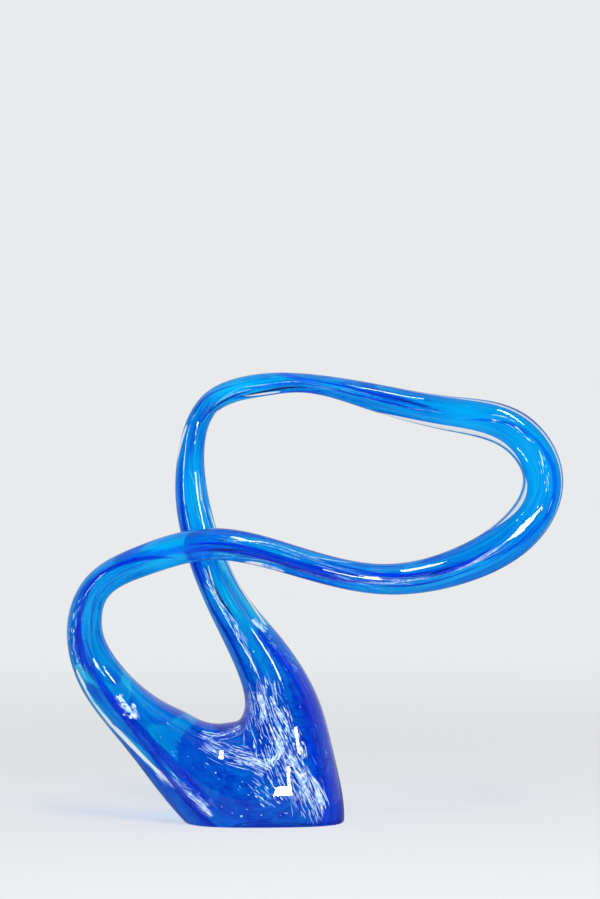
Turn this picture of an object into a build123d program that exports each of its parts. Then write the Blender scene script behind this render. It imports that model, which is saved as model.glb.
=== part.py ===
"""Glass wave sculpture: a drawn loop of cased blue glass, sealed at both ends to its own foot.

The glass is one ribbon that rises from the left of the foot, crosses in front of itself, swings
round a wide bend on the right, comes back over the top with a twist and runs down into the foot
again. It is given by cuts through the ribbon, one after another, and a smooth curve carries the
glass from cut to cut. Casing, core and strands of colour pass through the same cuts, as they do
when a cased gather is drawn out.
Millimetres. The origin is the middle of the ground foot, X runs right, Y away from the viewer, Z up.
"""
import os

import numpy as np
from build123d import *

os.makedirs("parts", exist_ok=True)

# Overall sizes
WIDTH = 402.0           # outer edge of the left arm to outer edge of the right bend
HEIGHT = 364.0          # ground foot to the top of the crown
SWEEP = 75.0            # middle of the front strand to middle of the rear arm, front to back

# Glass of the ribbon and the foot
STRAND = 26.0           # usual width of the drawn ribbon
FOOT_LENGTH = 124.0     # ground foot, left to right
FOOT_DEPTH = 88.0       # ground foot, front to back
SQUARENESS = 2.3        # 2 is an oval section, more is fuller at the corners
RIDGE = 2.2             # height of the ridge that the twist leaves at the crown
LOOP_WALL = 4.4         # clear casing over the blue core of the loop
FOOT_WALL = 7.0         # clear casing over the blue core of the foot

# Strands of colour in the core. Drawing thins them with the core, so they are shares of it
COBALT_SHARE = 0.20     # radius of a cobalt trail
WHITE_SHARE = 0.11      # radius of a white thread
REACH = 0.60            # how far out from the middle the strands lie
TWIST = 360.0           # turn of the strands round the core along the loop, in degrees
COBALT_TURNS = (-12.0, -168.0)
WHITE_TURNS = (-112.0, -68.0)

ROUND = 16              # points round a cut
TOUCH = 0.01            # flat ends this close lie in one plane

# The cuts: middle in percent of WIDTH, SWEEP and HEIGHT, lean of the width from level in degrees,
# width, depth and casing in mm, then the angle and height of the twist's ridge.
# From the seal on the left arm up and round the loop to the seal on the rear arm
LOOP_CUTS = [
    (-33.0, -16.0, 32.2, -136, 1.47 * STRAND, 1.62 * STRAND, LOOP_WALL, 0, 0),
    (-36.5, -25.3, 42.7, -164, 1.14 * STRAND, 1.23 * STRAND, LOOP_WALL, 0, 0),
    (-33.9, -34.7, 52.9, -224, 0.93 * STRAND, 1.12 * STRAND, LOOP_WALL, 0, 0),
    (-24.8, -44.0, 58.9, -247, 0.96 * STRAND, 1.04 * STRAND, LOOP_WALL, 0, 0),
    (-11.0, -49.3, 62.7, -274, 0.99 * STRAND, 1.00 * STRAND, LOOP_WALL, 0, 0),
    (5.5, -49.3, 59.1, -284, 0.92 * STRAND, 0.96 * STRAND, LOOP_WALL, 0, 0),
    (23.2, -45.3, 54.9, -274, 0.94 * STRAND, 0.96 * STRAND, LOOP_WALL, 0, 0),
    (38.5, -34.7, 57.6, -249, 1.13 * STRAND, 0.96 * STRAND, LOOP_WALL, 0, 0),
    (51.6, -18.7, 66.2, -224, 1.30 * STRAND, 0.92 * STRAND, LOOP_WALL, 0, 0),
    (55.8, 0.0, 77.0, -180, 1.26 * STRAND, 0.88 * STRAND, LOOP_WALL, 0, 0),
    (50.1, 17.3, 87.2, -126, 1.28 * STRAND, 0.85 * STRAND, LOOP_WALL, 0, 0),
    (36.7, 29.3, 91.1, -105, 1.09 * STRAND, 0.85 * STRAND, LOOP_WALL, 0, 0),
    (20.2, 37.3, 95.1, -107, 0.82 * STRAND, 0.85 * STRAND, LOOP_WALL, -10, 0),
    (7.6, 44.0, 97.9, -96, 0.57 * STRAND, 0.88 * STRAND, LOOP_WALL, -20, 0.5 * RIDGE),
    (-3.3, 49.3, 97.0, -68, 0.72 * STRAND, 0.80 * STRAND, LOOP_WALL, -50, RIDGE),
    (-11.6, 50.7, 93.0, -48, 0.70 * STRAND, 0.76 * STRAND, LOOP_WALL, -100, RIDGE),
    (-14.8, 49.3, 85.4, -12, 0.74 * STRAND, 0.78 * STRAND, LOOP_WALL, -150, 0.5 * RIDGE),
    (-15.3, 45.3, 73.4, 0, 1.02 * STRAND, 0.92 * STRAND, LOOP_WALL, -160, 0),
    (-12.9, 40.0, 61.2, 3, 1.18 * STRAND, 1.12 * STRAND, LOOP_WALL, -80, 0),
    (-8.5, 30.7, 49.7, 16, 1.27 * STRAND, 1.42 * STRAND, LOOP_WALL, 0, 0),
]
# On round the crotch, where the cuts fan out through the foot and end below the floor
FOOT_CUTS = [
    (-1.9, 20.0, 38.4, 19, 0.36 * FOOT_LENGTH, 0.57 * FOOT_DEPTH, FOOT_WALL, 0, 0),
    (3.0, 10.7, 27.5, 1, 0.48 * FOOT_LENGTH, 0.80 * FOOT_DEPTH, FOOT_WALL, 0, 0),
    (4.6, 5.3, 18.9, -27, 0.68 * FOOT_LENGTH, 0.93 * FOOT_DEPTH, FOOT_WALL, 0, 0),
    (4.0, 1.3, 8.2, -51, 1.07 * FOOT_LENGTH, 1.00 * FOOT_DEPTH, FOOT_WALL, 0, 0),
    (-4.8, 0.0, 4.6, -72, 1.07 * FOOT_LENGTH, 1.02 * FOOT_DEPTH, FOOT_WALL, 0, 0),
    (-13.5, -1.3, 9.5, -84, 0.83 * FOOT_LENGTH, 0.98 * FOOT_DEPTH, FOOT_WALL, 0, 0),
    (-23.3, -4.0, 20.0, -112, 0.44 * FOOT_LENGTH, 0.82 * FOOT_DEPTH, FOOT_WALL, 0, 0),
]
REAR_SEAL = len(LOOP_CUTS) - 1
ALL_ROUND = len(LOOP_CUTS) + len(FOOT_CUTS)


def closed_curve(rows):
    """Smooth closed curve through the rows: a function of the place, counted in rows from the first."""
    rows = np.array(rows, float)
    scale = np.array([WIDTH, SWEEP, HEIGHT]) / 100
    rows[:, :3] *= scale
    count = len(rows)
    gap = np.linalg.norm(np.roll(rows[:, :3], -1, axis=0) - rows[:, :3], axis=1) ** 0.8
    before = np.roll(gap, 1)
    slope = (np.roll(rows, -1, axis=0) - rows) / gap[:, None]
    matrix = np.diag(2 * (before + gap))
    matrix += np.roll(np.diag(gap), 1, axis=1) + np.roll(np.diag(before), -1, axis=1)
    bend = np.linalg.solve(matrix, 6 * (slope - np.roll(slope, 1, axis=0)))

    def at(place):
        first = np.floor(place).astype(int) % count
        after = (first + 1) % count
        step = gap[first][:, None]
        share = (place - np.floor(place))[:, None]
        line = rows[first] * (1 - share) + rows[after] * share
        sag = (share ** 3 - share) * bend[after] + ((1 - share) ** 3 - (1 - share)) * bend[first]
        return line + sag * step ** 2 / 6

    return at


ribbon = closed_curve(LOOP_CUTS + FOOT_CUTS)


def tube(rings):
    """Solid with one smooth skin through the rings of points, and a flat cap on each end ring."""
    grid = [[Vector(*point) for point in ring] for ring in rings.tolist()]
    skin = Face.make_surface_from_array_of_points(grid, tol=0.02, min_deg=3, max_deg=3)
    caps = [Face(Wire([edge])) for edge in skin.edges() if edge.is_closed]
    return Solid(Shell([skin] + caps))


def ovals(row, middle, half_wide, half_deep, ridge):
    """Rings of points in the planes of the cuts, full ovals with the twist's ridge on them."""
    turn = np.linspace(0, 2 * np.pi, ROUND + 1)
    c, s = np.cos(turn), np.sin(turn)
    c[-1], s[-1] = c[0], s[0]
    u = np.sign(c) * np.abs(c) ** (2 / SQUARENESS)
    v = np.sign(s) * np.abs(s) ** (2 / SQUARENESS)
    rise = ridge[:, None] * np.exp(5 * (np.cos(turn[None] - np.radians(row[:, 7:8])) - 1))
    rise[:, -1] = rise[:, 0]
    lean = np.radians(row[:, 3])
    width = np.stack([np.cos(lean), 0 * lean, np.sin(lean)], axis=1)
    across = half_wide[:, None] * u + rise * c
    through = half_deep[:, None] * v + rise * s
    return middle[:, None] + across[..., None] * width[:, None] + through[..., None] * np.array([0.0, 1.0, 0.0])


def glass(start, end, steps, cased):
    """Body of glass from one place to another: all of it, or what lies under the casing."""
    row = ribbon(np.linspace(start, end, steps))
    wall = row[:, 6] if cased else 0 * row[:, 6]
    return tube(ovals(row, row[:, :3], row[:, 4] / 2 - wall, row[:, 5] / 2 - wall, row[:, 8]))


def strands(start, end, steps, turns, twist, share):
    """Strands of colour through the core, in its part above the floor, turning evenly on the way."""
    row = ribbon(np.linspace(start, end, steps))
    lean = np.radians(row[:, 3])
    width = np.stack([np.cos(lean), 0 * lean, np.sin(lean)], axis=1)
    inner = row[:, 6] - row[:, 4] / 2
    outer = row[:, 4] / 2 - row[:, 6]
    floor = row[:, 2] / np.maximum(-width[:, 2], 0.2) - row[:, 6]
    outer = (outer + floor - np.sqrt((outer - floor) ** 2 + FOOT_WALL ** 2)) / 2
    half_wide, half_deep = (outer - inner) / 2, row[:, 5] / 2 - row[:, 6]
    bodies = []
    for first in turns:
        turn = np.radians(first + twist * np.linspace(0, 1, steps))
        across = (outer + inner) / 2 + REACH * np.cos(turn) * half_wide
        through = REACH * np.sin(turn) * half_deep
        middle = row[:, :3] + across[:, None] * width + through[:, None] * np.array([0.0, 1.0, 0.0])
        bodies.append(tube(ovals(row, middle, share * half_wide, share * half_deep, 0 * half_wide)))
    return bodies


def around(body, inside):
    """The body with room for the pieces inside it, which all end in its flat faces."""
    skins = [face for piece in [body] + inside for face in piece.faces() if face.geom_type != GeomType.PLANE]
    flats = [face for piece in inside for face in piece.faces().filter_by(GeomType.PLANE)]
    ends = []
    for end in body.faces().filter_by(GeomType.PLANE):
        normal = end.normal_at()
        holes = []
        for flat in flats:
            level = abs((flat.center() - end.center()).dot(normal)) < TOUCH
            parallel = abs(flat.normal_at().dot(normal)) > 1 - TOUCH ** 2
            if level and parallel:
                holes.append(flat.outer_wire())
        ends.append(Face(end.outer_wire(), holes))
    return Solid(Shell(skins + ends))


# The loop: one rod of blue glass drawn out with its strands of colour and its clear casing
LOOP_STEPS = 90
loop_body = glass(0, REAR_SEAL, LOOP_STEPS, cased=False)
loop_rod = glass(0, REAR_SEAL, LOOP_STEPS, cased=True)
loop_cobalt = strands(0, REAR_SEAL, LOOP_STEPS, COBALT_TURNS, TWIST, COBALT_SHARE)
loop_white = strands(0, REAR_SEAL, LOOP_STEPS, WHITE_TURNS, TWIST, WHITE_SHARE)

# The foot: the same layers, spread round the crotch and ground flat underneath
FOOT_STEPS = 56
below_floor = Pos(0, 0, -HEIGHT / 2) * Box(3 * WIDTH, 3 * WIDTH, HEIGHT)
foot_body = glass(REAR_SEAL, ALL_ROUND, FOOT_STEPS, cased=False) - below_floor
foot_gather = glass(REAR_SEAL, ALL_ROUND, FOOT_STEPS, cased=True) - below_floor
foot_cobalt = strands(REAR_SEAL, ALL_ROUND, FOOT_STEPS, COBALT_TURNS, 0.0, COBALT_SHARE)
foot_white = strands(REAR_SEAL, ALL_ROUND, FOOT_STEPS, WHITE_TURNS, 0.0, WHITE_SHARE)

NODES = {
    "loop_casing": [around(loop_body, [loop_rod])],
    "loop_core": [around(loop_rod, loop_cobalt + loop_white)],
    "loop_cobalt_trails": loop_cobalt,
    "loop_white_threads": loop_white,
    "foot_casing": [around(foot_body, [foot_gather])],
    "foot_core": [around(foot_gather, foot_cobalt + foot_white)],
    "foot_cobalt_bands": foot_cobalt,
    "foot_white_streaks": foot_white,
}
for name, pieces in NODES.items():
    node = Compound(children=pieces) if len(pieces) > 1 else pieces[0]
    box = node.bounding_box()
    print(name, len(node.solids()), "solids", round(node.volume), "mm3",
          [round(v, 1) for v in box.min], [round(v, 1) for v in box.max])
    export_step(node, f"parts/{name}.step")
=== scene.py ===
import bpy
import numpy as np
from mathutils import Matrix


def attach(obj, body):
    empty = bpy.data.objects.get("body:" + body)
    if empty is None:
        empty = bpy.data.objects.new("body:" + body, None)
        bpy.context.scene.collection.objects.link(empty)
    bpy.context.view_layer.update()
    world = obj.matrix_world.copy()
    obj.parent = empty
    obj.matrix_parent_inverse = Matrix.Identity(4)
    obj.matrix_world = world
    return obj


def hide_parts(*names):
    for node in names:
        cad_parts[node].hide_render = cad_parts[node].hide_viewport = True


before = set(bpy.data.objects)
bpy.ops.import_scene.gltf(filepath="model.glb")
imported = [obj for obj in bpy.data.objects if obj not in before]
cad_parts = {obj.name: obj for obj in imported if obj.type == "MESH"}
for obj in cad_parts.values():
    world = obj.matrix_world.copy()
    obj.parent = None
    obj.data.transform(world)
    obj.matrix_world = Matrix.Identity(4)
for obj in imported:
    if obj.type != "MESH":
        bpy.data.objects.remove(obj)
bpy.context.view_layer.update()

# Blue core
# The gather of transparent blue glass that the whole sculpture is drawn from. It is one hot body:
# a foot that forks round the crotch, and a rod that leaves it and runs round the loop.
WIDTH = 402.0           # outer edge of the left arm to outer edge of the right bend, mm
HEIGHT = 364.0          # ground foot to the top of the crown
SWEEP = 75.0            # front strand to rear arm, front to back
STRAND = 26.0           # usual width of the drawn ribbon
FOOT_LENGTH = 124.0     # ground foot, left to right
FOOT_DEPTH = 88.0       # ground foot, front to back
SQUARENESS = 2.3        # 2 is an oval section, more is fuller at the corners
RIDGE = 2.2             # height of the ridge that the twist leaves at the crown
LOOP_WALL = 4.4         # clear casing over the blue of the loop
FOOT_WALL = 7.0         # clear casing over the blue of the foot
EDGE = 0.8              # rounding where the ground flat meets the side
NEAR_FLOOR = 40.0       # only glass lower than this can reach the floor
LEAST_FALL = 0.2        # sine of the least lean at which a cut reaches the floor
RIDGE_SHARP = 5.0       # more makes the twist's ridge narrower
KNOT_POWER = 0.8        # knots of the curve are spaced by the chords to this power
MM = 0.001

# Cuts through the ribbon: middle in percent of WIDTH, SWEEP and HEIGHT, lean of the width from level
# in degrees, width, depth and casing in mm, then the angle and height of the twist's ridge
X, Y, Z, LEAN, WIDE, DEEP, WALL, RIDGE_TURN, RIDGE_RISE = range(9)
CUTS = [
    (-33.0, -16.0, 32.2, -136, 1.47 * STRAND, 1.62 * STRAND, LOOP_WALL, 0, 0),
    (-36.5, -25.3, 42.7, -164, 1.14 * STRAND, 1.23 * STRAND, LOOP_WALL, 0, 0),
    (-33.9, -34.7, 52.9, -224, 0.93 * STRAND, 1.12 * STRAND, LOOP_WALL, 0, 0),
    (-24.8, -44.0, 58.9, -247, 0.96 * STRAND, 1.04 * STRAND, LOOP_WALL, 0, 0),
    (-11.0, -49.3, 62.7, -274, 0.99 * STRAND, 1.00 * STRAND, LOOP_WALL, 0, 0),
    (5.5, -49.3, 59.1, -284, 0.92 * STRAND, 0.96 * STRAND, LOOP_WALL, 0, 0),
    (23.2, -45.3, 54.9, -274, 0.94 * STRAND, 0.96 * STRAND, LOOP_WALL, 0, 0),
    (38.5, -34.7, 57.6, -249, 1.13 * STRAND, 0.96 * STRAND, LOOP_WALL, 0, 0),
    (51.6, -18.7, 66.2, -224, 1.30 * STRAND, 0.92 * STRAND, LOOP_WALL, 0, 0),
    (55.8, 0.0, 77.0, -180, 1.26 * STRAND, 0.88 * STRAND, LOOP_WALL, 0, 0),
    (50.1, 17.3, 87.2, -126, 1.28 * STRAND, 0.85 * STRAND, LOOP_WALL, 0, 0),
    (36.7, 29.3, 91.1, -105, 1.09 * STRAND, 0.85 * STRAND, LOOP_WALL, 0, 0),
    (20.2, 37.3, 95.1, -107, 0.82 * STRAND, 0.85 * STRAND, LOOP_WALL, -10, 0),
    (7.6, 44.0, 97.9, -96, 0.57 * STRAND, 0.88 * STRAND, LOOP_WALL, -20, 0.5 * RIDGE),
    (-3.3, 49.3, 97.0, -68, 0.72 * STRAND, 0.80 * STRAND, LOOP_WALL, -50, RIDGE),
    (-11.6, 50.7, 93.0, -48, 0.70 * STRAND, 0.76 * STRAND, LOOP_WALL, -100, RIDGE),
    (-14.8, 49.3, 85.4, -12, 0.74 * STRAND, 0.78 * STRAND, LOOP_WALL, -150, 0.5 * RIDGE),
    (-15.3, 45.3, 73.4, 0, 1.02 * STRAND, 0.92 * STRAND, LOOP_WALL, -160, 0),
    (-12.9, 40.0, 61.2, 3, 1.18 * STRAND, 1.12 * STRAND, LOOP_WALL, -80, 0),
    (-8.5, 30.7, 49.7, 16, 1.27 * STRAND, 1.42 * STRAND, LOOP_WALL, 0, 0),
    (-1.9, 20.0, 38.4, 19, 0.36 * FOOT_LENGTH, 0.57 * FOOT_DEPTH, FOOT_WALL, 0, 0),
    (3.0, 10.7, 27.5, 1, 0.48 * FOOT_LENGTH, 0.80 * FOOT_DEPTH, FOOT_WALL, 0, 0),
    (4.6, 5.3, 18.9, -27, 0.68 * FOOT_LENGTH, 0.93 * FOOT_DEPTH, FOOT_WALL, 0, 0),
    (4.0, 1.3, 8.2, -51, 1.07 * FOOT_LENGTH, 1.00 * FOOT_DEPTH, FOOT_WALL, 0, 0),
    (-4.8, 0.0, 4.6, -72, 1.07 * FOOT_LENGTH, 1.02 * FOOT_DEPTH, FOOT_WALL, 0, 0),
    (-13.5, -1.3, 9.5, -84, 0.83 * FOOT_LENGTH, 0.98 * FOOT_DEPTH, FOOT_WALL, 0, 0),
    (-23.3, -4.0, 20.0, -112, 0.44 * FOOT_LENGTH, 0.82 * FOOT_DEPTH, FOOT_WALL, 0, 0),
]
ALL_ROUND = len(CUTS)


def closed_curve(rows):
    """Periodic cubic spline through the rows, with knots spaced by a power of the chords: a function
    of the place, counted in rows from the first."""
    rows = np.array(rows, float)
    one_percent = np.array([WIDTH, SWEEP, HEIGHT]) / 100
    middle = rows[:, [X, Y, Z]] * one_percent
    rows[:, [X, Y, Z]] = middle
    gap = np.linalg.norm(np.roll(middle, -1, axis=0) - middle, axis=1) ** KNOT_POWER
    before = np.roll(gap, 1)
    slope = (np.roll(rows, -1, axis=0) - rows) / gap[:, None]
    matrix = np.diag(2 * (before + gap))
    matrix += np.roll(np.diag(gap), 1, axis=1) + np.roll(np.diag(before), -1, axis=1)
    bend = np.linalg.solve(matrix, 6 * (slope - np.roll(slope, 1, axis=0)))

    def at(place):
        first = np.floor(place).astype(int) % len(rows)
        after = (first + 1) % len(rows)
        step = gap[first][..., None]
        share = (place - np.floor(place))[..., None]
        line = rows[first] * (1 - share) + rows[after] * share
        sag = (share ** 3 - share) * bend[after] + ((1 - share) ** 3 - (1 - share)) * bend[first]
        return line + sag * step ** 2 / 6

    return at


ribbon = closed_curve(CUTS)


def in_glass(place, turn, sink, floor):
    """Points of the glass at a depth below its skin: the cut's oval, shrunk by sink, with the twist's
    ridge, cos and sin of turn to the power 2 / SQUARENESS, and slid up its cut to stay above floor."""
    row = ribbon(place)
    c, s = np.cos(turn), np.sin(turn)
    u = np.sign(c) * np.abs(c) ** (2 / SQUARENESS)
    v = np.sign(s) * np.abs(s) ** (2 / SQUARENESS)
    ridge = np.exp(RIDGE_SHARP * (np.cos(turn - np.radians(row[..., RIDGE_TURN])) - 1))
    rise = row[..., RIDGE_RISE] * ridge
    lean = np.radians(row[..., LEAN])
    across = (row[..., WIDE] / 2 - sink) * u + rise * c
    through = (row[..., DEEP] / 2 - sink) * v + rise * s
    fall = np.minimum(np.sin(lean), -LEAST_FALL)
    z = row[..., Z] + across * np.sin(lean)
    above = (z + floor + np.sqrt((z - floor) ** 2 + EDGE ** 2)) / 2
    across = across + np.where(z - floor < NEAR_FLOOR, (above - z) / fall, 0)
    x = row[..., X] + across * np.cos(lean)
    z = row[..., Z] + across * np.sin(lean)
    return np.stack([x, row[..., Y] + through, np.maximum(z, floor)], axis=-1) * MM


FLAT_PART = 8           # one in so many points of a ring lies on the ground flat
LEAST_CORNER = np.pi / 10   # the turn they reach to each side where a ring misses the floor
SIDE_CROWDING = 0.85    # 0 spaces the points evenly, 1 crowds them at the corners
FLAT_CROWDING = 0.6     # the same for the points on the flat


def crowd(count, crowding):
    """Steps from 0 to 1 that crowd at both ends: even steps less a share of the sine of one round."""
    even = np.arange(count) / count
    return even - crowding * np.sin(2 * np.pi * even) / (2 * np.pi)


def rings(steps, around, sink, floor):
    """Grid of places and turns for a skin round the whole ribbon. Part of each ring is kept for the
    ground flat, and points crowd at the corners where the flat meets the side."""
    place = np.arange(steps) * ALL_ROUND / steps
    row = ribbon(place)
    fall = np.minimum(np.sin(np.radians(row[:, LEAN])), -LEAST_FALL)
    reach = np.clip((floor - row[:, Z]) / fall / (row[:, WIDE] / 2 - sink), 0, 1)
    corner = np.maximum(np.arccos(reach ** (SQUARENESS / 2)), LEAST_CORNER)[:, None]
    flat = around // FLAT_PART
    side = corner + (2 * np.pi - 2 * corner) * crowd(around - flat, SIDE_CROWDING)
    under = -corner + 2 * corner * crowd(flat, FLAT_CROWDING)
    turn = np.concatenate([side, under], axis=1)
    return np.broadcast_to(place[:, None], turn.shape), turn


def add_piece(name, points, faces):
    """Smooth mesh object of the points and faces, at the origin."""
    mesh = bpy.data.meshes.new(name)
    mesh.from_pydata(points.reshape(-1, 3), [], faces)
    mesh.shade_smooth()
    piece = bpy.data.objects.new(name, mesh)
    bpy.context.scene.collection.objects.link(piece)
    return piece


def skin(name, points):
    """Mesh object through a grid of points that closes both round each ring and from the last ring to
    the first."""
    along, around = points.shape[:2]
    row = np.arange(along)[:, None]
    dot = np.arange(around)[None]
    after, beside = (row + 1) % along, (dot + 1) % around
    quads = np.stack([row * around + dot, after * around + dot,
                      after * around + beside, row * around + beside], axis=-1)
    return add_piece(name, points, quads.reshape(-1, 4))


def carry(piece, name, values, domain="POINT"):
    """Stores one vector per point or per corner of a face, for the material to read by name."""
    store = piece.data.attributes.new(name, "FLOAT_VECTOR", domain)
    store.data.foreach_set("vector", np.ascontiguousarray(values, np.float32).ravel())


# Stretches with little colour, where the glass is bright cyan: middle, half length in rows, and share
CYAN_WINDOWS = [
    (3.35, 0.55, 1.0),
    (9.4, 2.1, 0.7),
    (10.75, 0.6, 0.5),
    (14.3, 0.9, 1.0),
    (17.2, 1.2, 0.5),
    (19.0, 0.9, 0.35),
]
# Stripes along the ribbon: first and last place, turns on the way in degrees, half width in degrees.
# In the clear ones the blue is missing, in the cyan ones it is thin, and in the deep ones it is dense.
CLEAR_STRIPES = [
    (25.35, 27.7, (-66, -46, -32, -31, -22), 9),
    (25.2, 27.6, (82, 90, 97, 80, 62), 8),
    (17.3, 19.8, (-4, 1, 5, 4, -5, -18), 9),
    (17.3, 19.9, (54, 60, 68, 80, 85, 86), 11),
]
CYAN_STRIPES = [
    (25.0, 29.4, (-156, -142, -134, -140, -156, -168), 18),
    (18.3, 20.9, (-84, -85, -90, -94, -98), 10),
]
DEEP_STRIPES = [
    (26.2, 27.3, (-112, -118, -126, -138), 22),
    (24.5, 26.1, (-112, -116, -124, -136), 30),
    (17.9, 20.0, (-60, -56, -54, -56), 17),
    (0.1, 3.1, (-68, -52, -50, -56), 26),
    (23.6, 24.9, (-86, -85, -81, -75), 8),
]
LEAST_HALF = 0.5        # degrees, half the width of a stripe at its very tips


def stripes(rows, place, turn, fade):
    """1 out to half of each stripe's half width, falling to 0 at one and a half of it. Towards its ends a
    stripe narrows as the square root of the sine, and fades as that root to the power fade."""
    share = 0 * place
    for first, last, turns, half in rows:
        gone = (place - first) % ALL_ROUND / (last - first)
        middle = np.interp(gone, np.linspace(0, 1, len(turns)), turns)
        off = (np.degrees(turn) - middle + 180) % 360 - 180
        ends = np.sqrt(np.sin(np.pi * np.clip(gone, 0, 1)))
        inside = np.clip(1.5 - np.abs(off) / np.maximum(half * ends, LEAST_HALF), 0, 1)
        share = np.maximum(share, inside * ends ** fade * (gone < 1))
    return share


def flow(place, turn):
    """Where a point lies in the glass if the ribbon were drawn straight: rows along it, then how far out
    to each side."""
    return np.stack([place, np.cos(turn), np.sin(turn)], axis=-1)


FOOT_WIDE = 60.0        # a ribbon of this width in mm or more counts as foot
LOOP_WIDE = 26.0        # and of this width or less as loop


def thickness(place):
    """How slim the ribbon is, from 0 on the foot to 1 on the loop, and how bright its blue, by a squared
    cosine along each cyan window. The third value is spare."""
    slim = np.clip((FOOT_WIDE - ribbon(place)[..., WIDE]) / (FOOT_WIDE - LOOP_WIDE), 0, 1)
    bright = 0 * place
    for middle, half, share in CYAN_WINDOWS:
        bright = bright + share * np.cos(np.pi / 2 * np.clip((place - middle) / half, -1, 1)) ** 2
    return np.stack([slim, np.clip(bright, 0, 1), 0 * slim], axis=-1)


class Shade:
    """A value in a material. Arithmetic on it adds Math nodes beside it."""

    def __init__(self, material, socket):
        self.material = material
        self.socket = socket

    def math(self, operation, first, second):
        return add_node(self.material, "ShaderNodeMath", {"operation": operation}, {0: first, 1: second})

    def __add__(self, other):
        return self.math("ADD", self, other)

    def __radd__(self, other):
        return self.math("ADD", other, self)

    def __sub__(self, other):
        return self.math("SUBTRACT", self, other)

    def __rsub__(self, other):
        return self.math("SUBTRACT", other, self)

    def __mul__(self, other):
        return self.math("MULTIPLY", self, other)

    def __rmul__(self, other):
        return self.math("MULTIPLY", other, self)


def add_node(material, kind, settings, inputs, output=0):
    """Adds one node: its settings first, then the values or links of its sockets. Gives back the output
    of that name or number."""
    node = material.node_tree.nodes.new(kind)
    for key, value in settings.items():
        setattr(node, key, value)
    for key, value in inputs.items():
        if isinstance(value, Shade):
            material.node_tree.links.new(value.socket, node.inputs[key])
        else:
            node.inputs[key].default_value = value
    return None if output is None else Shade(material, node.outputs[output])


def empty_nodes(material):
    """Clears the nodes of a new material, or of the studio's world."""
    material.use_nodes = True
    material.node_tree.nodes.clear()
    return material


def set_surface(material, shader, output="ShaderNodeOutputMaterial"):
    """Shows the shader on the material's surface."""
    add_node(material, output, {}, {"Surface": shader}, None)


def read(material, name):
    """The vector that the piece carries under the name."""
    return add_node(material, "ShaderNodeAttribute", {"attribute_name": name}, {}, "Vector")


def axis(vector, letter):
    """One of the three values of a vector."""
    return add_node(vector.material, "ShaderNodeSeparateXYZ", {}, {0: vector}, letter)


def grain(material, where, stretch, shift, detail=3.0, rough=0.5):
    """Noise over the glass, drawn out by stretch."""
    at = add_node(material, "ShaderNodeMapping", {}, {"Vector": where, "Location": shift, "Scale": stretch})
    return add_node(material, "ShaderNodeTexNoise", {},
                    {"Vector": at, "Scale": 1.0, "Detail": detail, "Roughness": rough})


def between(value, low, high):
    """0 below low, 1 above high and smooth between."""
    return add_node(value.material, "ShaderNodeMapRange", {"interpolation_type": "SMOOTHSTEP"},
                    {"Value": value, "From Min": low, "From Max": high})


def tint(share, first, second):
    """The first colour, turning to the second with the share."""
    return add_node(share.material, "ShaderNodeMix", {"data_type": "RGBA"},
                    {0: share, 6: first, 7: second}, 2)


def let_lamps_through(material, shader, colour):
    """Glass that passes the rays of lamps straight on in its own colour, so that they light what is
    behind it, and shows the shader to all other rays."""
    path = add_node(material, "ShaderNodeLightPath", {}, {}, "Is Shadow Ray")
    clear = add_node(material, "ShaderNodeBsdfTransparent", {}, {"Color": colour})
    set_surface(material, add_node(material, "ShaderNodeMixShader", {}, {0: path, 1: shader, 2: clear}))


CORE_FLOOR = 0.5        # the colour stops this far above the ground flat, mm
CORE_RINGS, CORE_AROUND = 780, 96
RIM_SHARP = 2.2         # more makes the clear rims narrower
# Where the casing ran thick and left a clear rim: middle and half length in rows, turn in degrees and
# extra casing in mm
CLEAR_RIMS = [
    (10.6, 1.6, 0, 2.2),
    (8.3, 0.9, 5, 2.6),
    (9.9, 1.4, 180, 0.7),
    (14.6, 1.0, -10, 1.6),
    (4.7, 0.8, 180, 2.4),
    (0.6, 1.4, 180, 5.0),
]


def colour_depth(place, turn):
    """Depth of the blue under the skin: the casing, and at each clear rim a smooth swelling of it along
    the ribbon, by the squared cosine of the place, and round it, by exp of the cosine of the turn."""
    depth = ribbon(place)[..., WALL]
    for middle, half, side, extra in CLEAR_RIMS:
        off = (place - middle + ALL_ROUND / 2) % ALL_ROUND - ALL_ROUND / 2
        near = np.cos(np.pi / 2 * np.clip(off / half, -1, 1)) ** 2
        depth = depth + extra * near * np.exp(RIM_SHARP * (np.cos(turn - np.radians(side)) - 1))
    return depth


core_place, core_turn = rings(CORE_RINGS, CORE_AROUND, LOOP_WALL, CORE_FLOOR)
core_depth = colour_depth(core_place, core_turn)
core = skin("blue_core", in_glass(core_place, core_turn, core_depth, CORE_FLOOR))
# Flow is stored at the corners of the faces, so that the last ring's faces end at a full round
core_flow = flow(core_place, core_turn)
next_flow = np.concatenate([core_flow[1:], core_flow[:1] + np.array([ALL_ROUND, 0.0, 0.0])])
corner_flow = [core_flow, next_flow, np.roll(next_flow, -1, axis=1), np.roll(core_flow, -1, axis=1)]
carry(core, "flow", np.stack(corner_flow, axis=2), "CORNER")
carry(core, "thickness", thickness(core_place))
core_clear = stripes(CLEAR_STRIPES, core_place, core_turn, fade=0)
core_cyan = stripes(CYAN_STRIPES, core_place, core_turn, fade=1)
core_deep = stripes(DEEP_STRIPES, core_place, core_turn, fade=2)
carry(core, "stripes", np.stack([core_clear, core_cyan, core_deep], axis=-1))

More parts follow.
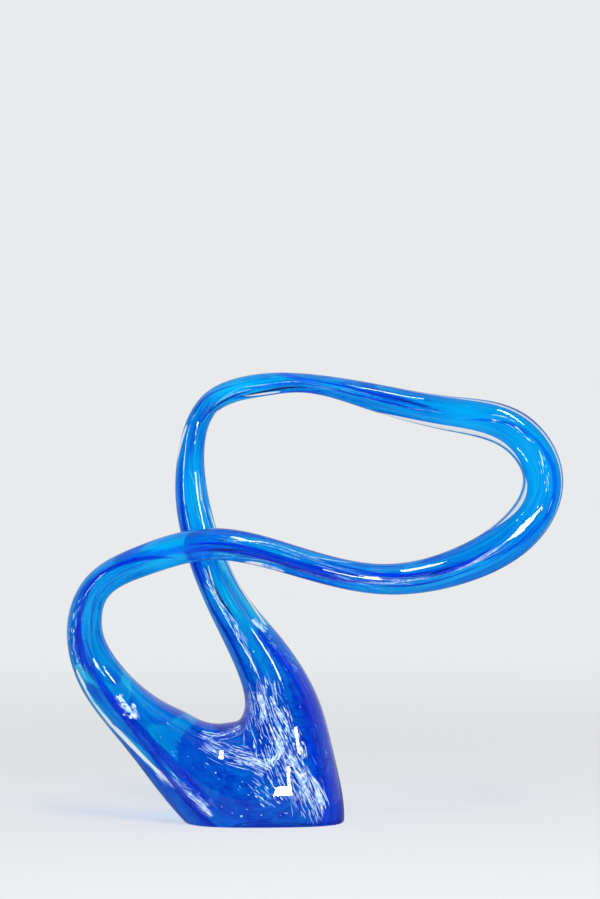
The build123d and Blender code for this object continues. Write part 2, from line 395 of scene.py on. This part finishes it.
blue = empty_nodes(bpy.data.materials.new("blue_glass"))
along = read(blue, "flow")
across = axis(along, "Y")
core_thickness = read(blue, "thickness")
slim = axis(core_thickness, "X")
bright = axis(core_thickness, "Y")
foot = 1.0 - slim
core_stripes = read(blue, "stripes")
bare = axis(core_stripes, "X")
cyan = axis(core_stripes, "Y")
deep = axis(core_stripes, "Z")
SEAM_FIRST, SEAM_LAST = 2.0, 0.1    # where one grain turns into the other, in rows before a full round
seam = between(axis(along, "X"), ALL_ROUND - SEAM_FIRST, ALL_ROUND - SEAM_LAST)


def drawn_grain(stretch, shift, detail=3.0, rough=0.5):
    """Grain along the ribbon that runs on where the last row meets the first: before that place it turns
    into the grain of one round less."""
    this_round = grain(blue, along, stretch, shift, detail, rough)
    round_less = (shift[0] - ALL_ROUND * stretch[0], shift[1], shift[2])
    next_round = grain(blue, along, stretch, round_less, detail, rough)
    return this_round + (next_round - this_round) * seam


broad = drawn_grain((0.55, 1.7, 1.7), (0.0, 0.0, 0.0))
fine = drawn_grain((0.8, 8.0, 8.0), (3.0, 1.0, 5.0), 4.0, 0.6)
hair = drawn_grain((0.9, 26.0, 26.0), (7.0, 2.0, 1.0), 2.0)
fibre = drawn_grain((0.8, 36.0, 36.0), (2.0, 9.0, 4.0), 3.0, 0.6)
cloud = drawn_grain((2.2, 5.0, 5.0), (1.0, 6.0, 2.0), 6.0, 0.72)
wisp = drawn_grain((5.0, 24.0, 24.0), (4.0, 3.0, 8.0), 4.0, 0.65)
# Darker blue on the foot than on the loop, with clouds in the foot
shade = tint(slim, (0.0, 0.11, 0.66, 1), (0.0, 0.44, 0.86, 1))
shade = tint(between(cloud, 0.48, 0.66) * foot, shade, (0.0, 0.25, 0.80, 1))
shade = tint(between(1.0 - cloud, 0.50, 0.64) * foot * 0.9, shade, (0.0, 0.025, 0.52, 1))
# Streaks drawn out along the ribbon, dark and cyan, and the cyan windows
streak = between(broad * 0.5 + fine * 0.5, 0.45, 0.57) * (1.0 - bright)
shade = tint(streak * slim * 0.9, shade, (0.0, 0.09, 0.68, 1))
shade = tint(between(fine, 0.54, 0.66) * (1.0 - bright) * 0.85, shade, (0.0, 0.015, 0.50, 1))
shade = tint(between(1.0 - fine, 0.53, 0.66) * slim * 0.7, shade, (0.0, 0.58, 0.94, 1))
shade = tint(bright * slim * 0.75, shade, (0.0, 0.62, 1.0, 1))
# Painted shade: darker blue towards both edges of the ribbon as the camera sees it, where a view passes
# through more glass
shade = tint(between(across * across, 0.4, 1.0) * slim * 0.6, shade, (0.0, 0.28, 0.80, 1))
# The cyan and the deep stripes, frayed by the streaks
shade = tint(between(cyan + fine * 0.8 - 0.4, 0.25, 0.85) * 0.8, shade, (0.0, 0.46, 0.90, 1))
shade = tint(between(deep + fine * 0.8 - 0.4, 0.1, 0.9) * 0.9, shade, (0.0, 0.08, 0.64, 1))
# Wisps in the foot, and fibres and whitish hairs in the loop
shade = tint(between(wisp, 0.52, 0.68) * foot * 0.7, shade, (0.0, 0.02, 0.50, 1))
shade = tint(between(fibre, 0.53, 0.60) * slim * 0.7, shade, (0.0, 0.12, 0.72, 1))
shade = tint(between(1.0 - fibre, 0.55, 0.62) * slim * 0.5, shade, (0.0, 0.62, 0.97, 1))
shade = tint(between(1.0 - wisp, 0.56, 0.68) * foot * 0.6, shade, (0.0, 0.34, 0.88, 1))
shade = tint(between(hair, 0.63, 0.73) * slim * 0.45, shade, (0.45, 0.85, 1.0, 1))
body = add_node(blue, "ShaderNodeBsdfPrincipled", {},
                {"Base Color": shade, "Roughness": 0.2, "Transmission Weight": 0.85, "IOR": 1.0,
                 "Alpha": 1.0 - between(bare + fine * 0.6 - 0.3, 0.45, 0.75)})
let_lamps_through(blue, body, (0.45, 0.74, 0.98, 1))
core.data.materials.append(blue)
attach(core, "root")
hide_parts("loop_core", "foot_core")

# Cobalt trails
# Bands of dense cobalt glass trailed on the hot core. Drawing pulled them out lengthwise into feathered
# streaks, which lie on the blue under the casing.
TRAIL_HEIGHT = 0.7      # mm above the blue at the middle of a trail
# First and last place in rows, turns on the way in degrees, half width in degrees, share of black
TRAILS = [
    (19.4, 23.3, (-66, -44, -46, -46), 25, 0.0),
    (20.2, 23.6, (-20, -18, -22, -26), 13, 0.0),
    (24.5, 28.9, (-82, -86, -80, -64), 15, 0.0),
    (24.2, 26.6, (-58, -62, -70, -76), 9, 0.0),
    (27.2, 29.4, (-60, -66, -68, -54), 13, 0.0),
    (1.7, 3.5, (-42, -58, -72, -128), 16, 0.0),
    (3.7, 6.0, (-76, -90, -92, -74), 17, 0.0),
    (3.5, 6.4, (-108, -118, -116, -100), 15, 0.0),
    (5.2, 7.6, (-34, -64, -86, -74), 15, 0.0),
    (5.8, 7.3, (-114, -120, -118, -112), 8, 0.0),
    (16.4, 21.0, (-140, -146, -149, -146), 13, 0.0),
    (18.2, 19.5, (-103, -102, -98, -92), 5, 1.0),
    (16.8, 19.4, (-38, -26, -16, -14), 9, 0.0),
    (11.1, 12.9, (-92, -108, -114, -126), 14, 0.0),
    (11.2, 12.8, (-78, -84, -78, -86), 9, 0.0),
    (13.9, 15.9, (-60, -57, -60, -100), 11, 0.0),
    (14.2, 15.6, (-122, -132, -140, -144), 9, 0.0),
    (12.8, 14.6, (-48, -42, -38, -32), 8, 1.0),
    (19.6, 23.8, (52, 44, 46, 52), 20, 0.0),
    (2.0, 6.4, (70, 92, 110, 84), 14, 0.0),
    (6.6, 10.8, (60, 120, 118, 74), 12, 0.0),
    (11.0, 15.4, (88, 104, 62, 90), 12, 0.0),
    (16.0, 20.8, (130, 120, 118, 126), 14, 0.0),
    (3.9, 4.5, (-112, -110, -106, -100), 5, 1.0),
    (6.3, 7.1, (-84, -86, -84, -80), 4, 0.8),
    (11.2, 11.9, (-104, -108, -112, -116), 4, 0.8),
]


def through_points(values, count):
    """The cubic that best fits evenly spaced values, at count even steps."""
    at = np.linspace(0, 1, len(values))
    return np.polyval(np.polyfit(at, values, 3), np.linspace(0, 1, count))


def shells(name, points):
    """One mesh object of many closed shells: grids of points that close round each ring, with a small
    face on each end ring. Points are stacked as shell, ring, point round the ring, axis."""
    count, along_it, around_it = points.shape[:3]
    near = np.arange(along_it - 1)[:, None] * around_it
    far = near + around_it
    dot = np.arange(around_it)[None]
    beside = (dot + 1) % around_it
    quads = np.stack([near + dot, near + beside, far + beside, far + dot], axis=-1).reshape(-1, 4)
    first_dot = np.arange(count)[:, None] * along_it * around_it
    quads = (first_dot[:, None] + quads).reshape(-1, 4)
    near_ends = first_dot + dot[:, ::-1]
    far_ends = first_dot + (along_it - 1) * around_it + dot
    return add_piece(name, points, quads.tolist() + near_ends.tolist() + far_ends.tolist())


TRAIL_RINGS, TRAIL_AROUND = 72, 12
TRAIL_TIP = 0.004       # share of its length where a trail is cut off at each end
TRAIL_TAPER = 0.6       # power of the sine by which a trail narrows to its ends
first, last, turns, half, blackness = zip(*TRAILS)
lens = np.linspace(0, 2 * np.pi, TRAIL_AROUND, endpoint=False)
taper = np.sin(np.pi * np.linspace(TRAIL_TIP, 1 - TRAIL_TIP, TRAIL_RINGS)) ** TRAIL_TAPER
trail_middle = np.stack([through_points(path, TRAIL_RINGS) for path in turns])
trail_half = np.array(half)[:, None] * taper
trail_turn = np.radians(trail_middle[..., None] + trail_half[..., None] * np.cos(lens))
trail_place = np.linspace(first, last, TRAIL_RINGS, axis=1)
trail_place = np.broadcast_to(trail_place[..., None], trail_turn.shape)
trail_rise = TRAIL_HEIGHT * taper[None, :, None] * (0.6 + 0.5 * np.sin(lens))
trail_depth = colour_depth(trail_place, trail_turn) - trail_rise
trails = shells("cobalt_trails", in_glass(trail_place, trail_turn, trail_depth, CORE_FLOOR))
carry(trails, "flow", flow(trail_place, trail_turn))
trail_edge = np.broadcast_to(np.cos(lens), trail_turn.shape)
trail_end = np.broadcast_to(np.linspace(-1, 1, TRAIL_RINGS)[None, :, None], trail_turn.shape)
trail_black = np.broadcast_to(np.array(blackness)[:, None, None], trail_turn.shape)
carry(trails, "feather", np.stack([trail_edge, trail_end, trail_black], axis=-1))

cobalt = empty_nodes(bpy.data.materials.new("cobalt_glass"))
along = read(cobalt, "flow")
feather = read(cobalt, "feather")
edge = axis(feather, "X")
end = axis(feather, "Y")
black = axis(feather, "Z")
fibre = grain(cobalt, along, (0.9, 14.0, 14.0), (2.0, 4.0, 1.0), 4.0, 0.6)
patch = grain(cobalt, along, (1.6, 3.0, 3.0), (5.0, 0.0, 3.0), 3.0)
# Solid in the middle, and frayed by the fibres towards the edges and the ends
middle = 1.0 - edge * edge - end * end * end * end * 0.6
solid = between(middle + fibre * 2.4 + patch * 1.6 - 2.0, 0.1, 1.1)
shade = tint(between(fibre, 0.40, 0.64), (0.0, 0.010, 0.40, 1), (0.0, 0.05, 0.66, 1))
shade = tint(black * 0.9, shade, (0.0, 0.002, 0.02, 1))
body = add_node(cobalt, "ShaderNodeBsdfPrincipled", {},
                {"Base Color": shade, "Roughness": 0.4, "Alpha": solid * (0.75 + black * 0.25), "IOR": 1.0})
set_surface(cobalt, body)
trails.data.materials.append(cobalt)
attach(trails, "root")
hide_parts("loop_cobalt_trails", "foot_cobalt_bands")

# White frit
# Crushed opaque white glass that the foot was rolled in. The chips lie on the blue and were drawn out
# into slivers, and into fine threads where the glass was pulled thin.
# Strokes of slivers: places and turns on the way, spread to the side in mm, number of slivers, their
# length and half width in mm, and how solid the white is
STROKES = [
    ((20.5, 21.0, 21.7, 22.1, 22.3, 22.6, 22.7, 22.9), (-112, -117, -106, -98, -86, -76, -65, -54),
     7.2, 170, 9.5, 0.19, 0.65),
    ((20.7, 21.5, 22.2, 22.6, 22.8, 22.9, 23.0), (-145, -144, -124, -111, -97, -86, -72),
     6.8, 140, 9.0, 0.18, 0.55),
    ((21.4, 21.9, 22.3, 22.5, 22.7, 22.9), (-120, -112, -98, -86, -72, -58), 8.0, 24, 8.0, 0.8, 0.3),
    ((22.2, 22.4, 22.6, 22.7, 22.8, 22.9), (-92, -86, -78, -70, -62, -52), 5.0, 56, 9.0, 0.24, 0.8),
    ((23.5, 23.4, 23.3, 23.25), (-109, -100, -91, -87), 6.0, 44, 5.0, 0.22, 0.5),
    ((22.8, 23.8, 24.4, 24.8), (-169, -159, -153, -152), 3.0, 50, 6.0, 0.24, 0.5),
    ((24.7, 24.2, 23.7, 23.2, 23.0), (-140, -136, -129, -118, -106), 5.0, 110, 9.0, 0.18, 0.55),
    ((25.7, 25.4, 25.2, 24.9, 24.7), (-59, -67, -71, -74, -73), 3.2, 110, 9.0, 0.2, 0.7),
    ((26.7, 26.6, 26.5, 26.4, 26.35, 26.3), (-99, -96, -96, -97, -93, -92), 3.2, 70, 4.0, 0.8, 1.0),
    ((19.9, 20.4, 20.8, 21.2, 21.6, 22.2), (-60, -44, -34, -27, -22, -30), 7.0, 100, 2.4, 0.24, 0.7),
    ((19.5, 19.6, 19.7, 19.8), (-44, -42, -39, -36), 2.2, 30, 5.0, 0.6, 0.8),
    ((0.3, 0.6, 0.9, 1.2, 1.5, 1.8), (-58, -44, -40, -48, -52, -58), 3.5, 44, 3.5, 0.24, 0.8),
    # White thread on the lower rear arm, laid where a glint lies: partly frit, partly painted highlight
    ((18.4, 18.8, 19.2, 19.6, 20.0, 20.4), (-116, -110, -101, -103, -109, -118), 1.8, 44, 12.0, 0.25, 0.8),
    ((4.1, 4.5, 4.9, 5.3, 5.7, 6.1), (-62, -58, -56, -50, -46, -40), 2.4, 16, 34.0, 0.13, 0.5),
    ((4.0, 4.5, 5.0, 5.5, 6.0, 6.5), (-136, -132, -126, -120, -112, -108), 2.4, 18, 30.0, 0.13, 0.5),
    ((5.4, 5.9, 6.4, 6.8, 7.2, 7.8), (-111, -106, -97, -94, -94, -90), 0.7, 12, 60.0, 0.15, 0.8),
    ((8.4, 8.8, 9.2, 9.6, 10.0, 10.4), (-104, -100, -98, -100, -102, -98), 2.4, 34, 5.0, 0.22, 0.9),
    ((16.6, 17.0, 17.4, 17.8, 18.2, 18.6), (-50, -48, -46, -44, -40, -36), 2.0, 12, 24.0, 0.13, 0.5),
    ((23.0, 23.6, 24.2, 24.8, 25.4, 26.0), (-70, -76, -90, -96, -92, -88), 16.0, 60, 1.2, 0.22, 0.6),
    ((20.2, 21.0, 21.8, 22.2, 22.5, 22.9), (122, 134, 122, 100, 78, 54), 9.0, 300, 9.0, 0.22, 0.6),
    ((24.7, 24.3, 23.8, 23.3, 23.0, 22.8), (150, 140, 128, 112, 98, 84), 6.0, 140, 6.5, 0.26, 0.6),
    ((25.8, 25.5, 25.3, 25.1, 24.9, 24.7), (60, 64, 68, 66, 64, 62), 4.0, 90, 7.0, 0.28, 0.6),
    ((4.0, 5.0, 6.0, 7.0, 8.0, 9.0), (120, 112, 100, 92, 90, 96), 3.0, 26, 30.0, 0.14, 0.5),
    ((10.5, 11.5, 12.5, 13.5, 14.5, 15.5), (-95, -90, -88, -92, -80, -70), 2.6, 18, 26.0, 0.12, 0.5),
    ((20.8, 21.1, 21.5, 21.8), (-127, -127, -124, -119), 1.7, 50, 5.0, 0.36, 0.8),
    ((20.9, 21.2, 21.5, 21.8), (-104, -100, -93, -89), 1.4, 36, 6.0, 0.30, 0.8),
    ((22.1, 22.3, 22.5, 22.9), (-105, -103, -105, -109), 2.2, 52, 4.5, 0.40, 0.8),
    ((21.7, 21.9, 22.0, 22.2), (-85, -78, -75, -75), 1.9, 48, 4.5, 0.40, 0.8),
    ((22.3, 22.4, 22.5, 22.6), (-93, -89, -83, -77), 1.5, 30, 6.0, 0.30, 0.7),
    ((22.4, 22.5, 22.6, 22.7), (-69, -63, -59, -53), 2.0, 44, 6.5, 0.36, 0.85),
    ((23.8, 23.5, 23.2, 23.0), (-129, -124, -117, -109), 1.2, 36, 6.0, 0.26, 0.7),
]
FRIT_HEIGHT = 0.35      # mm above the blue
STROKE_STEPS = 200      # points along the middle of a stroke
SLIVER_RINGS, SLIVER_AROUND = 7, 5
SLIVER_TIP = 0.01       # share of its length where a sliver is cut off at each end
SLIVER_LONGEST = 0.9    # of the stroke
SIZE_SPREAD = 0.5       # how much the slivers of a stroke differ in length and width
SKEW_SPREAD = 0.12      # how much they turn off the stroke's direction
SOLID_SPREAD = 0.4      # how much their white differs
NUDGE = 0.02            # small step for a slope, in rows and in radians
TINY = 1e-6             # keeps a division from failing
frit_draws = np.random.default_rng(41)


def unit(vectors):
    """The vectors, each made one long."""
    return vectors / np.maximum(np.linalg.norm(vectors, axis=-1, keepdims=True), TINY)


def slivers_along(places, turns, spread, count, length, width):
    """Slivers along a stroke: each is a spindle, its half width falling off as the square root of the
    sine along it, laid on the blue, and scattered to both sides of the stroke."""
    fine_place = through_points(places, STROKE_STEPS)
    fine_turn = np.radians(through_points(turns, STROKE_STEPS))
    line = in_glass(fine_place, fine_turn, 0.0, CORE_FLOOR) / MM
    travel = np.concatenate([[0], np.cumsum(np.linalg.norm(np.diff(line, axis=0), axis=1))])
    middle = frit_draws.uniform(0, travel[-1], count)
    long = np.minimum(length * frit_draws.lognormal(0, SIZE_SPREAD, count), SLIVER_LONGEST * travel[-1])
    middle = np.clip(middle, long / 2, travel[-1] - long / 2)
    thick = width * frit_draws.lognormal(0, SIZE_SPREAD, count)[:, None, None]
    aside = frit_draws.normal(0, spread, count)
    skew = frit_draws.normal(0, SKEW_SPREAD, count)
    step = np.linspace(-0.5, 0.5, SLIVER_RINGS)[None] * long[:, None]
    where = middle[:, None] + step
    at_place = np.interp(where, travel, fine_place)
    at_turn = np.interp(where, travel, fine_turn)
    # The skin's two directions, then the stroke's own and the one to its side, in mm
    here = in_glass(at_place, at_turn, 0.0, CORE_FLOOR) / MM
    along_place = (in_glass(at_place + NUDGE, at_turn, 0.0, CORE_FLOOR) / MM - here) / NUDGE
    along_turn = (in_glass(at_place, at_turn + NUDGE, 0.0, CORE_FLOOR) / MM - here) / NUDGE
    side = np.cross(unit(np.cross(along_place, along_turn)), unit(np.gradient(here, axis=1)))
    # A step to the side, turned into places and turns by least squares on the skin's directions
    place_place = (along_place * along_place).sum(-1)
    place_turn = (along_place * along_turn).sum(-1)
    turn_turn = (along_turn * along_turn).sum(-1)
    place_side = (along_place * side).sum(-1)
    turn_side = (along_turn * side).sum(-1)
    scale = np.maximum(place_place * turn_turn - place_turn * place_turn, TINY)
    to_place = ((turn_turn * place_side - place_turn * turn_side) / scale)[..., None]
    to_turn = ((place_place * turn_side - place_turn * place_side) / scale)[..., None]
    # The spindle round its own line
    ring = np.linspace(0, 2 * np.pi, SLIVER_AROUND, endpoint=False)
    slender = np.sqrt(np.sin(np.pi * np.linspace(SLIVER_TIP, 1 - SLIVER_TIP, SLIVER_RINGS)))[None, :, None]
    sideways = aside[:, None] + skew[:, None] * step
    offset = sideways[..., None] + thick * slender * np.cos(ring)
    place = at_place[..., None] + to_place * offset
    turn = at_turn[..., None] + to_turn * offset
    rise = FRIT_HEIGHT + 0.5 * thick * slender * np.sin(ring)
    return in_glass(place, turn, colour_depth(place, turn) - rise, CORE_FLOOR)


slivers = np.concatenate([slivers_along(*stroke) for *stroke, solidity in STROKES])
frit = shells("white_frit", slivers)
usual = np.concatenate([np.full(count, solidity) for *path, count, length, width, solidity in STROKES])
sliver_solid = np.clip(usual + frit_draws.uniform(-SOLID_SPREAD, SOLID_SPREAD, len(slivers)), 0, 1)
carry(frit, "solid", np.broadcast_to(sliver_solid[:, None, None, None], slivers.shape))

white = empty_nodes(bpy.data.materials.new("white_glass"))
where = add_node(white, "ShaderNodeTexCoord", {}, {}, "Object")
mottle = grain(white, where, (300.0, 300.0, 300.0), (0.0, 0.0, 0.0))
solid = axis(read(white, "solid"), "X")
shade = tint(between(mottle, 0.35, 0.65), (0.40, 0.64, 0.95, 1), (0.82, 0.91, 1.0, 1))
body = add_node(white, "ShaderNodeBsdfPrincipled", {},
                {"Base Color": shade, "Roughness": 0.5, "IOR": 1.0,
                 "Alpha": between(mottle + solid * 0.5, 0.3, 0.9) * 0.95})
set_surface(white, body)
frit.data.materials.append(white)
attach(frit, "root")
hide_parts("foot_white_streaks", "loop_white_threads")

# Clear casing
# A gather of clear glass taken over the core before it is drawn out. It is thick on the foot and thin
# on the loop, fire-polished outside, and ground flat under the foot.
CASING_RINGS, CASING_AROUND = 960, 96
casing_place, casing_turn = rings(CASING_RINGS, CASING_AROUND, 0.0, 0.0)
casing = skin("clear_casing", in_glass(casing_place, casing_turn, 0.0, 0.0))

clear = empty_nodes(bpy.data.materials.new("clear_glass"))
where = add_node(clear, "ShaderNodeTexCoord", {}, {}, "Object")
wave = grain(clear, where, (30.0, 30.0, 30.0), (2.0, 0.0, 0.0), 1.0)
polish = add_node(clear, "ShaderNodeBump", {}, {"Strength": 0.15, "Distance": 0.002, "Height": wave})
body = add_node(clear, "ShaderNodeBsdfPrincipled", {},
                {"Base Color": (0.97, 0.99, 1.0, 1), "Roughness": 0.0, "Transmission Weight": 1.0,
                 "IOR": 1.5, "Normal": polish})
let_lamps_through(clear, body, (0.95, 0.98, 1.0, 1))
casing.data.materials.append(clear)
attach(casing, "root")
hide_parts("loop_casing", "foot_casing")

# Stage
# A plain pale floor that fades out into an even pale studio, a few soft lamps and the camera. Floor and
# studio are darker to light that the glass mirrors than to the camera, so that the blue stays deep.
FLOOR = 3.0             # half the side of the floor, m
FADE_FIRST, FADE_LAST = 0.35, 1.7   # how far out the floor fades away, m
STUDIO = (0.81, 0.822, 0.838, 1)    # as the camera sees it
ROOM_LIGHT = 0.36       # of the studio on the sculpture
MIRRORED_FRONT = 0.03   # of the studio as the glass mirrors it, in front
MIRRORED_BACK = 0.45    # and how much more behind and above
edge_x, edge_y = np.meshgrid([-FLOOR, FLOOR], [-FLOOR, FLOOR])
floor = add_piece("floor", np.stack([edge_x, edge_y, 0 * edge_x], axis=-1), [(0, 1, 3, 2)])


def is_seen(material):
    """1 for what the camera sees, straight or through glass."""
    straight = add_node(material, "ShaderNodeLightPath", {}, {}, "Is Camera Ray")
    through = add_node(material, "ShaderNodeLightPath", {}, {}, "Is Transmission Ray")
    return between(straight + through, 0.0, 1.0)


paper = empty_nodes(bpy.data.materials.new("pale_floor"))
seen = is_seen(paper)
shade = tint(seen, (0.24, 0.245, 0.25, 1), (0.86, 0.87, 0.885, 1))
matt = add_node(paper, "ShaderNodeBsdfPrincipled", {},
                {"Base Color": shade, "Roughness": 0.9, "Specular IOR Level": 0.0})
pale = add_node(paper, "ShaderNodeEmission", {}, {"Color": STUDIO})
body = add_node(paper, "ShaderNodeMixShader", {}, {0: seen * 0.6, 1: matt, 2: pale})
where = add_node(paper, "ShaderNodeTexCoord", {}, {}, "Object")
away = add_node(paper, "ShaderNodeVectorMath", {"operation": "LENGTH"}, {0: where}, "Value")
gone = add_node(paper, "ShaderNodeBsdfTransparent", {}, {})
fade = between(away, FADE_FIRST, FADE_LAST)
set_surface(paper, add_node(paper, "ShaderNodeMixShader", {}, {0: fade, 1: body, 2: gone}))
floor.data.materials.append(paper)

world = empty_nodes(bpy.data.worlds.new("studio"))
bpy.context.scene.world = world
seen = is_seen(world)
way = add_node(world, "ShaderNodeTexCoord", {}, {}, "Generated")
glossy = add_node(world, "ShaderNodeLightPath", {}, {}, "Is Glossy Ray")
mirrored = MIRRORED_FRONT + between(axis(way, "Y") + axis(way, "Z") * 0.5, -0.2, 0.6) * MIRRORED_BACK
room = ROOM_LIGHT + glossy * (mirrored - ROOM_LIGHT)
shade = tint(seen, (0.95, 0.97, 1.0, 1), STUDIO)
sky = add_node(world, "ShaderNodeBackground", {}, {"Color": shade, "Strength": room + seen * (1.0 - room)})
set_surface(world, sky, "ShaderNodeOutputWorld")


def softbox(name, place, aim, size, power):
    """Soft lamp that faces the aim, and that glass mirrors but doesn't show by refraction."""
    lamp = bpy.data.lights.new(name, "AREA")
    lamp.shape = "RECTANGLE"
    lamp.size, lamp.size_y = size
    lamp.energy = power
    piece = bpy.data.objects.new(name, lamp)
    bpy.context.scene.collection.objects.link(piece)
    piece.location = place
    x, y, z = np.array(place) - np.array(aim)
    piece.rotation_euler = (np.arctan2(np.hypot(x, y), z), 0.0, np.arctan2(x, -y))
    piece.visible_transmission = False
    return piece


# The overhead lamp lights the glass and isn't mirrored in it. The others each make one of the glints
overhead = softbox("overhead_lamp",
                   place=(0.26, -1.50, 2.05), aim=(0.1, 0.0, 0.25), size=(0.8, 1.30), power=24.0)
overhead.visible_glossy = False
softbox("upper_pane", place=(0.40, -1.87, 2.58), aim=(0.1, 0.0, 0.2), size=(0.26, 0.95), power=20.0)
softbox("side_pane", place=(1.14, -2.03, 0.99), aim=(0.1, 0.0, 0.25), size=(0.28, 0.50), power=13.0)
softbox("low_pane", place=(0.36, -2.37, 0.09), aim=(0.0, 0.0, 0.05), size=(0.32, 0.16), power=5.0)
softbox("low_post", place=(0.47, -2.37, 0.27), aim=(0.0, 0.0, 0.05), size=(0.11, 0.50), power=4.0)
softbox("left_lamp", place=(-1.54, -1.54, 0.51), aim=(0.0, 0.0, 0.2), size=(0.2, 0.8), power=7.0)

CAMERA_PLACE = (0.0273, -3.9, 0.452)
CAMERA_DIP = 2.19       # degrees below level
CAMERA_LENS = 192.8     # mm
CAMERA_REACH = 20.0     # m
GLASS_BOUNCES = 16      # enough for every layer where the ribbon crosses its rear arm
CLEAR_BOUNCES = 32      # and for the clear parts of all the slivers in a line of sight
view = bpy.data.cameras.new("camera")
view.lens = CAMERA_LENS
view.clip_end = CAMERA_REACH
camera = bpy.data.objects.new("camera", view)
bpy.context.scene.collection.objects.link(camera)
camera.location = CAMERA_PLACE
camera.rotation_euler = (np.radians(90 - CAMERA_DIP), 0.0, 0.0)
bpy.context.scene.camera = camera
bpy.context.scene.view_settings.view_transform = "Standard"
bpy.context.scene.cycles.transparent_max_bounces = CLEAR_BOUNCES
bpy.context.scene.cycles.max_bounces = GLASS_BOUNCES
bpy.context.scene.cycles.transmission_bounces = GLASS_BOUNCES
